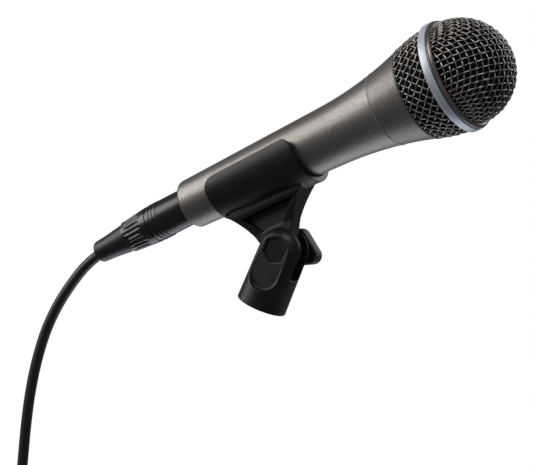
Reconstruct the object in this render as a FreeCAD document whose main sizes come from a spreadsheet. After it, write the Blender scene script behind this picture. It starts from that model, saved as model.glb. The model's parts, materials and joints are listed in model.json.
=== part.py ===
import FreeCAD, Part
import math
import os
import re

import Sketcher
from FreeCAD import Placement, Rotation, Vector

# Handheld dynamic microphone in its stand clip, with the cable plugged in.
# Millimetres. Origin: the middle of the clip's bottom face, on the axis of its stand thread.
# +Z is up and +X is the way the microphone looks. Everything but the tied coil is on the plane y = 0.
# The microphone's own pieces are drawn along its axis: height 0 is the tail rim, and local +X faces down.

SIZES = {
    # how the pieces stand
    "base_lean": 25.3,
    "mic_tilt": 67.93,
    "plug_droop": 1.25,
    "pivot_height": 29.1,
    "neck_reach": 40.1,
    "neck_station": 40.4,
    # handle
    "tail_radius": 12.2,
    "rim_round": 2.2,
    "shoulder_radius": 14.65,
    "shoulder_station": 85,
    "flare_radius": 192,
    "seam_radius": 18.24,
    "seam_station": 116.8,
    "seam_gap": 0.2,
    "handle_wall": 2.0,
    "socket_radius": 9.7,
    "socket_depth": 24,
    "spigot_radius": 16.2,
    "spigot_bore": 14.0,
    "spigot_length": 8,
    "thread_clearance": 0.05,
    "fit_gap": 0.05,
    # grille
    "collar_wall": 2.0,
    "mesh_base_radius": 22.7,
    "mesh_base_station": 134.7,
    "mesh_thickness": 0.9,
    "rear_mesh_bend": 47.8,
    "rear_mesh_radius": 25.8,
    "ring_radius": 27,
    "ring_bore": 24.4,
    "ring_station": 150.9,
    "ring_length": 6.3,
    "ring_chamfer": 0.9,
    "ring_groove_width": 1.2,
    "ring_groove_depth": 0.7,
    "dome_radius": 25.4,
    "foam_gap": 0.3,
    "foam_thickness": 3.4,
    # capsule
    "capsule_radius": 15.6,
    "capsule_tail_radius": 12,
    "capsule_wall": 1.2,
    "capsule_tail_station": 116,
    "capsule_step_station": 127.4,
    "capsule_top_station": 149,
    "mount_flange_radius": 15.8,
    "mount_flange": 2.4,
    "yoke_station": 131.5,
    "yoke_radius": 13,
    "yoke_height": 11.5,
    "yoke_floor": 2,
    "gap_radius": 10.5,
    "pole_radius": 9.3,
    "pole_height": 3,
    "magnet_radius": 8.8,
    "coil_former_radius": 9.9,
    "coil_former_wall": 0.4,
    "coil_former_height": 6,
    "diaphragm_radius": 13.9,
    "diaphragm_rise": 2.2,
    "diaphragm_thickness": 0.25,
    "cap_thickness": 1.2,
    "cap_hole_radius": 1.6,
    "cap_hole_circle": 8.5,
    "felt_thickness": 0.9,
    "cavity_radius": 9,
    "cavity_wall": 0.8,
    "cavity_station": 92,
    # transformer and wiring
    "core_station": 58,
    "core_length": 18,
    "core_depth": 14,
    "core_width": 15,
    "leg_width": 5.2,
    "window_width": 2.8,
    "yoke_end": 4,
    "winding_depth": 18,
    "wire_radius": 0.5,
    "wire_spread": 6,
    # three-pin socket
    "pin_radius": 1.2,
    "pin_circle": 4,
    "pin_tip_station": 4.5,
    "pin_tail_station": 27,
    "insulator_station": 16,
    "socket_screw_radius": 1.25,
    "socket_screw_station": 20,
    "socket_screw_length": 4,
    # clip
    "base_radius": 12.3,
    "base_top_radius": 11.75,
    "slot_width": 8,
    "slot_floor": 18.4,
    "thread_radius": 7.5,
    "thread_length": 14,
    "insert_radius": 8.5,
    "bolt_radius": 3.175,
    "bolt_clearance": 0.05,
    "nut_across_flats": 11.1,
    "nut_height": 2.6,
    "nut_seat": 5.4,
    "nut_clearance": 0.15,
    "pocket_floor": 8.8,
    "pocket_radius": 7.7,
    "pocket_length": 12.4,
    "spot_face": 10.4,
    "spot_radius": 7,
    "washer_thickness": 1.2,
    "washer_radius": 6.5,
    "knob_gap": 0.4,
    "knob_thickness": 9,
    "knob_lobe_radius": 4.4,
    "knob_lobe_circle": 6.1,
    "saddle_start": 18.5,
    "saddle_end": 70.8,
    "saddle_gap": 0.3,
    "saddle_wall": 2.9,
    "saddle_wrap": 218,
    "saddle_front_corner": 5,
    "saddle_rear_corner": 6.5,
    "neck_width": 14.4,
    "neck_clearance": 0.12,
    "knuckle_radius": 8.6,
    "web_half": 1.9,
    "flange_thickness": 2.4,
    "flare_depth": 11,
    "neck_rear_bend": 45,
    "neck_front_bend": 50,
    "neck_rear_spread": 20.5,
    "neck_front_spread": 26,
    # cable plug
    "plug_radius": 9.1,
    "plug_bore": 7.7,
    "plug_nose_station": 14,
    "plug_tail_station": -22.5,
    "plug_rib_height": 0.35,
    "plug_rib_width": 1.3,
    "plug_rib_pitch": 2.1,
    "plug_insulator_back": -2,
    "contact_radius": 1.3,
    "contact_clearance": 0.3,
    "contact_back": -6,
    "latch_width": 8,
    "latch_length": 12,
    "latch_station": -15,
    "latch_gap": 0.3,
    "chuck_radius": 7,
    "chuck_tail_radius": 5.8,
    "chuck_station": -36,
    "chuck_nose_station": -16.5,
    "collar_front_radius": 9.35,
    "collar_middle_radius": 8.8,
    "collar_back_radius": 7.95,
    "collar_middle_station": -30,
    "collar_back_station": -38.7,
    "collar_bore_gap": 0.4,
    "boot_front_radius": 7.4,
    "boot_middle_radius": 6.1,
    "boot_middle_station": -50,
    "boot_back_radius": 5.55,
    "boot_back_station": -59,
    "boot_round": 1.6,
    "part_line": 0.2,
    # far plug
    "male_shell_radius": 9.5,
    "male_shell_bore": 8.2,
    "male_insulator_top": 4,
    # cord
    "cord_radius": 2.72,
    "cord_station": -46,
    "cord_stub_end": -17.5,
    "wire_pinch": 0.4,
    "cord_bend_station": -63,
    "coil_radius": 32.5,
    "coil_bundle_radius": 11,
    "coil_across": 18.8,
    "coil_drop": 36.5,
    "tie_wall": 1.4,
    "tie_start": 84,
    "tie_sweep": 20,
    "tail_start": 24,
    "tail_drop": 54,
}

# The cord's route from the boot down to the coil, as (x, z).
CORD_POINTS = [(-114.6, 5.6), (-125.2, -10.3), (-132.0, -26.8), (-136.9, -45.2), (-139.9, -64.0),
               (-142.0, -84.0), (-143.3, -97.0)]

doc = FreeCAD.newDocument("dynamic_microphone")
sheet = doc.addObject("Spreadsheet::Sheet", "Sizes")
for row, (alias, figure) in enumerate(SIZES.items(), 1):
    sheet.set(f"A{row}", alias)
    sheet.set(f"B{row}", str(figure))
    sheet.setAlias(f"B{row}", alias)
doc.recompute()


# Drawing helpers

def formula(text):
    """The expression with each size's name looked up in the sheet."""
    return re.sub(r"[a-z]+_\w+", r"Sizes.\g<0>", text)


def number(text):
    return float(sheet.evalExpression(re.sub(r"\s+", " ", text)))


def bind(thing, name, text):
    thing.setExpression(name, formula(text))


def pin_point(sketch, edge, end, across, up):
    """Hold one end of an edge at (across, up)."""
    for kind, axis, text in (("DistanceX", -2, across), ("DistanceY", -1, up)):
        if text == "0":
            sketch.addConstraint(Sketcher.Constraint("PointOnObject", edge, end, axis))
            continue
        held = sketch.addConstraint(Sketcher.Constraint(kind, -1, 1, edge, end, number(text)))
        bind(sketch, f"Constraints[{held}]", text)


def arc_between(start, stop, radius, side):
    """The arc from start to stop that bends left or right, and which of its ends is at start."""
    chord = stop - start
    normal = Vector(-chord.y, chord.x, 0).normalize()
    reach = math.sqrt(max(radius ** 2 - (chord.Length / 2) ** 2, 0))
    centre = (start + stop) / 2 + normal * (reach if side == "left" else -reach)
    first, last = (start, stop) if side == "left" else (stop, start)
    angles = [math.atan2(end.y - centre.y, end.x - centre.x) for end in (first, last)]
    arc = Part.ArcOfCircle(Part.Circle(centre, Vector(0, 0, 1), radius), *angles)
    return arc, (1, 2) if side == "left" else (2, 1)


def draw_outline(sketch, outline):
    """Close a ring of (across, up) points. A point with (radius, side) is reached by an arc."""
    corners = [Vector(number(point[0]), number(point[1]), 0) for point in outline]
    ends = []
    for index, point in enumerate(outline):
        start, stop = corners[index - 1], corners[index]
        if len(point) == 4:
            arc, order = arc_between(start, stop, number(point[2]), point[3])
            edge = sketch.addGeometry(arc)
            held = sketch.addConstraint(Sketcher.Constraint("Radius", edge, number(point[2])))
            bind(sketch, f"Constraints[{held}]", point[2])
        else:
            edge = sketch.addGeometry(Part.LineSegment(start, stop))
            order = (1, 2)
        ends.append((edge, order))
    for index, point in enumerate(outline):
        edge, order = ends[index]
        following, next_order = ends[(index + 1) % len(outline)]
        sketch.addConstraint(Sketcher.Constraint("Coincident", edge, order[1], following, next_order[0]))
        pin_point(sketch, edge, order[1], point[0], point[1])


def new_sketch(body, plane, start="0"):
    """A sketch on one of the body's own planes, moved along the plane's normal by start."""
    sketch = body.newObject("Sketcher::SketchObject", body.Name + "_sketch")
    home = [face for face in body.Origin.OriginFeatures if face.Role == plane][0]
    sketch.AttachmentSupport = [(home, "")]
    sketch.MapMode = "FlatFace"
    if start != "0":
        bind(sketch, "AttachmentOffset.Base.z", start)
    return sketch


def new_body(label, place):
    body = doc.addObject("PartDesign::Body", label)
    body.Label = label
    body.Placement = place
    return body


def add_turn(body, outline, angle="360", kind="Revolution"):
    """Turn an outline of (radius, height) points about the body's Z axis."""
    sketch = new_sketch(body, "XZ_Plane")
    draw_outline(sketch, outline)
    turn = body.newObject("PartDesign::" + kind, body.Name + "_turn")
    turn.Profile = sketch
    turn.ReferenceAxis = (sketch, ["V_Axis"])
    turn.Midplane = angle != "360"
    bind(turn, "Angle", angle)
    return turn


def turned(label, place, outline):
    body = new_body(label, place)
    add_turn(body, outline)
    return body


def add_pad(body, plane, outline, thickness, kind="Pad"):
    """Pad or pocket an outline, half its thickness to each side of the plane."""
    sketch = new_sketch(body, plane)
    draw_outline(sketch, outline)
    pad = body.newObject("PartDesign::" + kind, body.Name + "_pad")
    pad.Profile = sketch
    pad.Midplane = True
    bind(pad, "Length", thickness)
    return pad


def cut_outline(body, plane, outline, start, depth):
    """Pocket an outline from start, along the plane's normal."""
    sketch = new_sketch(body, plane, start)
    draw_outline(sketch, outline)
    return finish_cut(body, sketch, depth)


def cut_holes(body, plane, holes, start, depth):
    """Pocket round holes, each given as (across, up, radius), from start along the plane's normal."""
    sketch = new_sketch(body, plane, start)
    for across, up, radius in holes:
        middle = Vector(number(across), number(up), 0)
        edge = sketch.addGeometry(Part.Circle(middle, Vector(0, 0, 1), number(radius)))
        held = sketch.addConstraint(Sketcher.Constraint("Radius", edge, number(radius)))
        bind(sketch, f"Constraints[{held}]", radius)
        pin_point(sketch, edge, 3, across, up)
    return finish_cut(body, sketch, depth)


def finish_cut(body, sketch, depth):
    doc.recompute()
    before = body.Shape.Volume
    pocket = body.newObject("PartDesign::Pocket", body.Name + "_cut")
    pocket.Profile = sketch
    pocket.Reversed = True
    bind(pocket, "Length", depth)
    doc.recompute()
    if body.Shape.Volume > before - 0.01:
        raise ValueError(body.Label + ": a pocket cut nothing")
    return pocket


def pattern(body, feature, count):
    """Repeat a cut around the body's Z axis."""
    ring = body.newObject("PartDesign::PolarPattern", body.Name + "_ring")
    ring.Originals = [feature]
    ring.Axis = (feature.Profile[0], ["N_Axis"])
    ring.Angle = 360
    ring.Occurrences = count
    body.Tip = ring
    return ring


def primitive(kind, label, at=("0", "0", "0"), **sizes):
    """A Part primitive with its sizes, and its corner or centre, bound to the sheet."""
    solid = doc.addObject("Part::" + kind, label)
    for name, text in sizes.items():
        bind(solid, name, text)
    for axis, text in zip("xyz", at):
        bind(solid, "Placement.Base." + axis, text)
    return solid


def box(label, low, size):
    """A box from its low corner and its size along X, Y and Z."""
    return primitive("Box", label, low, Length=size[0], Width=size[1], Height=size[2])


def combined(kind, label, place, *solids):
    """A Part boolean: Cut and Common take two solids, and Compound takes any number."""
    result = doc.addObject("Part::" + kind, label)
    result.Label = label
    if kind == "Compound":
        result.Links = list(solids)
    else:
        result.Base, result.Tool = solids
    result.Placement = place
    return result


def plain(label, place, shape):
    """A solid made straight from Part's functions."""
    solid = doc.addObject("Part::Feature", label)
    solid.Label = label
    solid.Shape = shape
    solid.Placement = place
    return solid


def size(alias):
    return float(sheet.get(alias))


def around(count, radius, start=0.0):
    """Points spread evenly on a circle about the Z axis."""
    turns = [math.radians(start + 360 * index / count) for index in range(count)]
    return [Vector(radius * math.cos(turn), radius * math.sin(turn), 0) for turn in turns]


def rods(label, place, routes, radius):
    """Straight round rods, each from one point to another, as one group of solids."""
    solids = [Part.makeCylinder(radius, (stop - start).Length, start, stop - start)
              for start, stop in routes]
    return plain(label, place, Part.makeCompound(solids))


def at_height(point, height):
    return Vector(point.x, point.y, height)


# Where each group stands. The microphone hangs from the pivot, and the plug sags in its socket.

lean = Rotation(Vector(0, 1, 0), size("base_lean"))
base_place = Placement(Vector(0, 0, 0), lean)
pivot = lean.multVec(Vector(0, 0, size("pivot_height")))
tilt = Rotation(Vector(0, 1, 0), size("mic_tilt"))
mic_place = Placement(pivot - tilt.multVec(Vector(size("neck_reach"), 0, size("neck_station"))), tilt)
sag_centre = Vector(0, 0, size("plug_nose_station") / 2)
sag = Placement(Vector(0, 0, 0), Rotation(Vector(0, 1, 0), -size("plug_droop")), sag_centre)
plug_place = mic_place.multiply(sag)


# Handle

turned("handle_shell", mic_place, [
    ("socket_radius", "0"),
    ("tail_radius - rim_round", "0"),
    ("tail_radius", "rim_round", "rim_round", "left"),
    ("shoulder_radius", "shoulder_station"),
    ("seam_radius", "seam_station", "flare_radius", "right"),
    ("spigot_radius", "seam_station"),
    ("spigot_radius", "seam_station + spigot_length"),
    ("spigot_bore", "seam_station + spigot_length"),
    ("spigot_bore", "seam_station - 2 * handle_wall"),
    ("shoulder_radius - handle_wall", "shoulder_station"),
    ("socket_radius + fit_gap * 10", "socket_depth"),
    ("socket_radius", "socket_depth"),
])
handle = doc.getObject("handle_shell")
cut_holes(handle, "YZ_Plane", [("0", "socket_screw_station", "socket_screw_radius + fit_gap")],
          "socket_radius - 1", "tail_radius")

socket_insulator = turned("socket_insulator", mic_place, [
    ("0", "insulator_station"),
    ("socket_radius - fit_gap", "insulator_station"),
    ("socket_radius - fit_gap", "socket_depth - fit_gap"),
    ("0", "socket_depth - fit_gap"),
])
doc.recompute()
PIN_SPOTS = [("pin_circle", "0"), ("-pin_circle / 2", "pin_circle * 0.8660254"),
             ("-pin_circle / 2", "-pin_circle * 0.8660254")]
cut_holes(socket_insulator, "XY_Plane", [(*spot, "pin_radius + fit_gap") for spot in PIN_SPOTS],
          "insulator_station - 1", "socket_depth - insulator_station + 2")
cut_holes(socket_insulator, "YZ_Plane", [("0", "socket_screw_station", "socket_screw_radius + fit_gap")],
          "tail_radius - socket_screw_length", "socket_screw_length")

rods("socket_screw", mic_place,
     [(Vector(size("tail_radius") - size("socket_screw_length") + 0.2, 0, size("socket_screw_station")),
       Vector(size("tail_radius") + 0.2, 0, size("socket_screw_station")))],
     size("socket_screw_radius"))

pin_ring = around(3, size("pin_circle"))
rods("socket_pins", mic_place,
     [(at_height(spot, size("pin_tip_station")), at_height(spot, size("pin_tail_station")))
      for spot in pin_ring], size("pin_radius"))
rods("output_wires", mic_place,
     [(at_height(spot, size("pin_tail_station")), at_height(spot, size("core_station")))
      for spot in pin_ring], size("wire_radius"))

# Transformer: an iron core whose middle leg carries the winding, in a soft wrap

core_low = ("-core_depth / 2", "-core_width / 2", "core_station")
core_block = box("core_block", core_low, ("core_depth", "core_width", "core_length"))
windows = combined("Compound", "core_windows", Placement(), *[
    box(f"core_window_{side}", ("-core_depth", f"{side} * (leg_width + window_width) / 2 - window_width / 2",
                                "core_station + yoke_end"),
        ("2 * core_depth", "window_width", "core_length - 2 * yoke_end"))
    for side in (-1, 1)])
combined("Cut", "transformer_core", mic_place, core_block, windows)

winding_width = "leg_width + 2 * window_width - 2 * fit_gap"
winding_block = box("winding_block",
                    ("-winding_depth / 2", f"-({winding_width}) / 2", "core_station + yoke_end + fit_gap"),
                    ("winding_depth", winding_width, "core_length - 2 * yoke_end - 2 * fit_gap"))
winding_leg = box("winding_leg", ("-core_depth / 2 - fit_gap", "-leg_width / 2 - fit_gap", "core_station"),
                  ("core_depth + 2 * fit_gap", "leg_width + 2 * fit_gap", "core_length"))
combined("Cut", "transformer_winding", mic_place, winding_block, winding_leg)

taper = "(shoulder_radius - handle_wall - socket_radius - fit_gap * 10) / (shoulder_station - socket_depth)"
bore_at = "(socket_radius + fit_gap * 10 + ({0} - socket_depth) * " + taper + " - fit_gap)"
wrap_from, wrap_to = "core_station + 1", "core_station + core_length - 1"
wrap_cone = primitive("Cone", "wrap_cone", ("0", "0", wrap_from), Radius1=bore_at.format(f"({wrap_from})"),
                      Radius2=bore_at.format(f"({wrap_to})"), Height="core_length - 2")
wrap_hole = box("wrap_hole", ("-winding_depth / 2 - fit_gap", "-core_width / 2 - fit_gap", "core_station"),
                ("winding_depth + 2 * fit_gap", "core_width + 2 * fit_gap", "core_length"))
wrap_round = primitive("Cylinder", "wrap_round", ("0", "0", "core_station"),
                       Radius="winding_depth / 2 + 1.6", Height="core_length")
combined("Cut", "transformer_wrap", mic_place, wrap_cone,
         combined("Common", "wrap_space", Placement(), wrap_hole, wrap_round))

rods("capsule_wires", mic_place,
     [(Vector(0, side * size("wire_spread"), size("core_station") + size("core_length")),
       Vector(0, side * size("wire_spread"), size("cavity_station"))) for side in (-1, 1)],
     size("wire_radius"))

# Capsule: a moving-coil motor in a housing that stands in a rubber mount

turned("shock_mount", mic_place, [
    ("capsule_tail_radius + fit_gap", "capsule_tail_station + 1"),
    ("spigot_bore - fit_gap", "capsule_tail_station + 1"),
    ("spigot_bore - fit_gap", "seam_station + spigot_length + fit_gap"),
    ("mount_flange_radius", "seam_station + spigot_length + fit_gap"),
    ("mount_flange_radius", "seam_station + spigot_length + mount_flange"),
    ("capsule_tail_radius + fit_gap", "seam_station + spigot_length + mount_flange"),
])
turned("capsule_frame", mic_place, [
    ("capsule_tail_radius - capsule_wall", "capsule_tail_station"),
    ("capsule_tail_radius", "capsule_tail_station"),
    ("capsule_tail_radius", "capsule_step_station"),
    ("capsule_radius", "capsule_step_station + capsule_wall * 2"),
    ("capsule_radius", "capsule_top_station"),
    ("capsule_radius - capsule_wall", "capsule_top_station"),
    ("capsule_radius - capsule_wall", "capsule_step_station + capsule_wall * 3"),
    ("capsule_tail_radius - capsule_wall", "capsule_step_station + capsule_wall"),
])
turned("magnet_yoke", mic_place, [
    ("0", "yoke_station"),
    ("yoke_radius", "yoke_station"),
    ("yoke_radius", "yoke_station + yoke_height - yoke_floor"),
    ("capsule_radius - capsule_wall - fit_gap", "yoke_station + yoke_height - yoke_floor"),
    ("capsule_radius - capsule_wall - fit_gap", "yoke_station + yoke_height"),
    ("gap_radius", "yoke_station + yoke_height"),
    ("gap_radius", "yoke_station + yoke_floor"),
    ("0", "yoke_station + yoke_floor"),
])
magnet_height = "(yoke_height - yoke_floor - pole_height + 0.2)"
combined("Compound", "magnet", mic_place,
         primitive("Cylinder", "magnet_disc", ("0", "0", "yoke_station + yoke_floor"),
                   Radius="magnet_radius", Height=magnet_height))
combined("Compound", "pole_piece", mic_place,
         primitive("Cylinder", "pole_disc", ("0", "0", "yoke_station + yoke_floor + " + magnet_height),
                   Radius="pole_radius", Height="pole_height"))
coil_foot = "yoke_station + yoke_height - coil_former_height / 2 + 0.6"
coil_top = "yoke_station + yoke_height + coil_former_height / 2 + 0.6"
turned("voice_coil", mic_place, [
    ("coil_former_radius - coil_former_wall / 2", coil_foot),
    ("coil_former_radius + coil_former_wall / 2", coil_foot),
    ("coil_former_radius + coil_former_wall / 2", coil_top),
    ("coil_former_radius - coil_former_wall / 2", coil_top),
])
coil_edge = "(coil_former_radius + coil_former_wall / 2)"
dome_bend = f"(({coil_edge} ^ 2 + diaphragm_rise ^ 2) / (2 * diaphragm_rise))"
turned("diaphragm", mic_place, [
    ("0", coil_top + " + diaphragm_rise"),
    (coil_edge, coil_top, dome_bend, "right"),
    ("diaphragm_radius", coil_top),
    ("diaphragm_radius", coil_top + " + diaphragm_thickness"),
    (coil_edge, coil_top + " + diaphragm_thickness"),
    ("0", coil_top + " + diaphragm_rise + diaphragm_thickness", dome_bend, "left"),
])
resonator = turned("resonator_cap", mic_place, [
    ("0", "capsule_top_station + 1"),
    ("capsule_radius - capsule_wall", "capsule_top_station + 1"),
    ("capsule_radius - capsule_wall", "capsule_top_station + fit_gap"),
    ("capsule_radius", "capsule_top_station + fit_gap"),
    ("capsule_radius", "capsule_top_station + 1 + cap_thickness"),
    ("0", "capsule_top_station + 1 + cap_thickness"),
])
cut_holes(resonator, "XY_Plane", [("0", "0", "cap_hole_radius")], "capsule_top_station", "cap_thickness + 2")
vent = cut_holes(resonator, "XY_Plane", [("cap_hole_circle", "0", "cap_hole_radius")],
                 "capsule_top_station + 0.5", "cap_thickness + 2")
pattern(resonator, vent, 6)
combined("Compound", "front_felt", mic_place,
         primitive("Cylinder", "felt_disc", ("0", "0", "capsule_top_station + 1 + cap_thickness + fit_gap"),
                   Radius="diaphragm_radius", Height="felt_thickness"))
turned("cavity_tube", mic_place, [
    ("0", "cavity_station"),
    ("cavity_radius", "cavity_station"),
    ("cavity_radius", "capsule_tail_station - fit_gap"),
    ("capsule_tail_radius - capsule_wall - fit_gap", "capsule_tail_station - fit_gap"),
    ("capsule_tail_radius - capsule_wall - fit_gap", "capsule_tail_station + 2"),
    ("cavity_radius - cavity_wall", "capsule_tail_station + 2"),
    ("cavity_radius - cavity_wall", "cavity_station + cavity_wall"),
    ("0", "cavity_station + cavity_wall"),
])

# Grille: it unscrews from the handle's spigot

turned("grille_collar", mic_place, [
    ("spigot_radius + thread_clearance", "seam_station + seam_gap"),
    ("seam_radius", "seam_station + seam_gap"),
    ("mesh_base_radius", "mesh_base_station", "flare_radius", "right"),
    ("mesh_base_radius - collar_wall", "mesh_base_station"),
    ("spigot_radius + thread_clearance", "seam_station + spigot_length + mount_flange"),
])
turned("grille_rear_mesh", mic_place, [
    ("mesh_base_radius - mesh_thickness", "mesh_base_station", "rear_mesh_bend - mesh_thickness", "right"),
    ("mesh_base_radius", "mesh_base_station"),
    ("rear_mesh_radius", "ring_station", "rear_mesh_bend", "left"),
    ("rear_mesh_radius - mesh_thickness", "ring_station"),
])
groove = "(ring_station + ring_length / 2)"
turned("grille_ring", mic_place, [
    ("ring_bore", "ring_station"),
    ("ring_radius - ring_chamfer", "ring_station"),
    ("ring_radius", "ring_station + ring_chamfer"),
    ("ring_radius", groove + " - ring_groove_width / 2"),
    ("ring_radius - ring_groove_depth", groove + " - ring_groove_width / 4"),
    ("ring_radius - ring_groove_depth", groove + " + ring_groove_width / 4"),
    ("ring_radius", groove + " + ring_groove_width / 2"),
    ("ring_radius", "ring_station + ring_length - ring_chamfer"),
    ("ring_radius - ring_chamfer", "ring_station + ring_length"),
    ("ring_bore", "ring_station + ring_length"),
])
dome_station = "(ring_station + ring_length)"
turned("grille_front_mesh", mic_place, [
    ("dome_radius - mesh_thickness", dome_station, "dome_radius - mesh_thickness", "right"),
    ("dome_radius", dome_station),
    ("0", dome_station + " + dome_radius", "dome_radius", "left"),
    ("0", dome_station + " + dome_radius - mesh_thickness"),
])
foam_radius = "(ring_bore - foam_gap)"
foam_inside = "(ring_bore - foam_gap - foam_thickness)"
turned("foam_windscreen", mic_place, [
    (foam_inside + " - 1", "mesh_base_station + 2"),
    ("mesh_base_radius - mesh_thickness", "mesh_base_station + 2"),
    (foam_radius, "ring_station"),
    (foam_radius, dome_station),
    ("0", dome_station + " + " + foam_radius, foam_radius, "left"),
    ("0", dome_station + " + " + foam_inside),
    (foam_inside, dome_station, foam_inside, "right"),
    (foam_inside, "ring_station"),
])

# Stand clip: a slotted base, and a cradle that tilts in its slot

base = turned("clip_base", base_place, [
    ("insert_radius", "0"),
    ("base_radius", "0"),
    ("base_top_radius", "pivot_height"),
    ("0", "pivot_height + base_top_radius", "base_top_radius", "left"),
    ("0", "thread_length + 1"),
    ("insert_radius", "thread_length + 1"),
])
add_pad(base, "XZ_Plane", [
    ("-2 * base_radius", "slot_floor"),
    ("2 * base_radius", "slot_floor"),
    ("2 * base_radius", "3 * pivot_height"),
    ("-2 * base_radius", "3 * pivot_height"),
], "slot_width", "Pocket")
cut_holes(base, "XZ_Plane", [("0", "pivot_height", "bolt_radius + bolt_clearance")],
          "-2 * base_radius", "4 * base_radius")
cut_outline(base, "XZ_Plane", [
    ("-pocket_radius", "pivot_height - pocket_length"),
    ("0", "pivot_height - pocket_length - pocket_radius", "pocket_radius", "left"),
    ("pocket_radius", "pivot_height - pocket_length", "pocket_radius", "left"),
    ("pocket_radius", "pivot_height"),
    ("0", "pivot_height + pocket_radius", "pocket_radius", "left"),
    ("-pocket_radius", "pivot_height", "pocket_radius", "left"),
], "pocket_floor", "base_radius")
half_flat = "((nut_across_flats / 2 + nut_clearance) * {0})"
corner = half_flat.format("1.1547005")
HEX = [("0", "pivot_height + " + corner),
       ("-" + half_flat.format("1"), "pivot_height + " + corner + " / 2"),
       ("-" + half_flat.format("1"), "pivot_height - " + corner + " / 2"),
       ("0", "pivot_height - " + corner),
       (half_flat.format("1"), "pivot_height - " + corner + " / 2"),
       (half_flat.format("1"), "pivot_height + " + corner + " / 2")]
cut_outline(base, "XZ_Plane", HEX, "nut_seat", "base_radius")
cut_holes(base, "XZ_Plane", [("0", "pivot_height", "spot_radius")],
          "-spot_face - base_radius", "base_radius")

turned("thread_insert", base_place, [
    ("thread_radius", "0"),
    ("insert_radius - fit_gap", "0"),
    ("insert_radius - fit_gap", "thread_length"),
    ("thread_radius", "thread_length"),
])
nut_hexagon = primitive("Prism", "nut_hexagon", Circumradius="nut_across_flats / 2 * 1.1547005",
                        Height="nut_height")
nut_hexagon.Polygon = 6
nut_hole = primitive("Cylinder", "nut_hole", Radius="bolt_radius + bolt_clearance", Height="nut_height")
nut_turn = Rotation(Vector(1, 0, 0), 90)
nut_spot = Placement(Vector(0, -size("nut_seat") - 0.02, size("pivot_height")), nut_turn)
combined("Cut", "clamp_nut", base_place.multiply(nut_spot).multiply(
    Placement(Vector(0, 0, 0), Rotation(Vector(0, 0, 1), 30))), nut_hexagon, nut_hole)

across = Placement(Vector(0, 0, size("pivot_height")), Rotation(Vector(1, 0, 0), -90))
knob_place = base_place.multiply(across)
turned("clamp_washer", knob_place, [
    ("bolt_radius + bolt_clearance", "spot_face + 0.02"),
    ("washer_radius", "spot_face + 0.02"),
    ("washer_radius", "spot_face + washer_thickness"),
    ("bolt_radius + bolt_clearance", "spot_face + washer_thickness"),
])
knob_start = "(spot_face + washer_thickness + knob_gap)"
turned("thumbscrew_bolt", knob_place, [
    ("0", "-nut_seat - nut_height"),
    ("bolt_radius", "-nut_seat - nut_height"),
    ("bolt_radius", knob_start + " + knob_thickness * 0.7"),
    ("0", knob_start + " + knob_thickness * 0.7"),
])


def lobed_knob():
    """A rounded triangle, one lobe pointing along X, with a boss at the washer and a hole for the bolt."""
    lobe, circle, thick = size("knob_lobe_radius"), size("knob_lobe_circle"), size("knob_thickness")
    start = size("spot_face") + size("washer_thickness") + size("knob_gap")
    middles = around(3, circle)
    edges = []
    for index, middle in enumerate(middles):
        outward = Vector(middle).normalize()
        corners = [middle + Rotation(Vector(0, 0, 1), turn).multVec(outward) * lobe for turn in (-60, 0, 60)]
        if edges:
            edges.append(Part.makeLine(edges[-1].lastVertex().Point, corners[0]))
        edges.append(Part.Arc(*corners).toShape())
    edges.append(Part.makeLine(edges[-1].lastVertex().Point, edges[0].firstVertex().Point))
    outline = Part.Face(Part.Wire(edges))
    outline.translate(Vector(0, 0, start + 1.5))
    boss = Part.makeCylinder(size("washer_radius") - 0.6, 1.5, Vector(0, 0, start))
    hole = Part.makeCylinder(size("bolt_radius") + 0.02, thick * 0.7, Vector(0, 0, start))
    wing = outline.extrude(Vector(0, 0, thick - 1.5))
    rim = [edge for edge in wing.Edges if abs(edge.BoundBox.ZMin - start - thick) < 1e-6
           and edge.BoundBox.ZLength < 1e-6]
    return wing.makeFillet(1.2, rim).fuse(boss).cut(hole)


plain("thumbscrew_knob", knob_place, lobed_knob())

cradle_place = mic_place
cradle = new_body("clip_cradle", cradle_place)
slope = "((shoulder_radius - tail_radius) / (shoulder_station - rim_round))"
inside_at = "(tail_radius + ({0} - rim_round) * " + slope + " + saddle_gap)"
add_turn(cradle, [
    (inside_at.format("saddle_start"), "saddle_start"),
    (inside_at.format("saddle_start") + " + saddle_wall * 0.85", "saddle_start"),
    (inside_at.format("saddle_end") + " + saddle_wall", "saddle_end"),
    (inside_at.format("saddle_end"), "saddle_end"),
], "saddle_wrap")
doc.recompute()
for corner, end in (("saddle_front_corner", "saddle_end"), ("saddle_rear_corner", "saddle_start")):
    saddle = cradle.Tip
    ends = [f"Edge{index}" for index, edge in enumerate(saddle.Shape.Edges, 1)
            if edge.Curve.TypeId == "Part::GeomLine" and edge.Length < 2 * size("saddle_wall")
            and abs(edge.CenterOfMass.z - size(end)) < 0.01]
    rounding = cradle.newObject("PartDesign::Fillet", corner)
    rounding.Base = (saddle, ends)
    bind(rounding, "Radius", corner)
    doc.recompute()
neck_top = "(" + inside_at.format("neck_station") + " + saddle_wall / 3)"
add_pad(cradle, "XZ_Plane", [
    (neck_top, "neck_station - neck_rear_spread"),
    ("neck_reach - knuckle_radius * 0.35", "neck_station - knuckle_radius * 0.9367497", "neck_rear_bend", "right"),
    ("neck_reach", "neck_station - knuckle_radius", "knuckle_radius", "left"),
    ("neck_reach + knuckle_radius", "neck_station", "knuckle_radius", "left"),
    ("neck_reach", "neck_station + knuckle_radius", "knuckle_radius", "left"),
    ("neck_reach - knuckle_radius * 0.35", "neck_station + knuckle_radius * 0.9367497",
     "knuckle_radius", "left"),
    (neck_top, "neck_station + neck_front_spread", "neck_front_bend", "right"),
], "neck_width")
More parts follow.
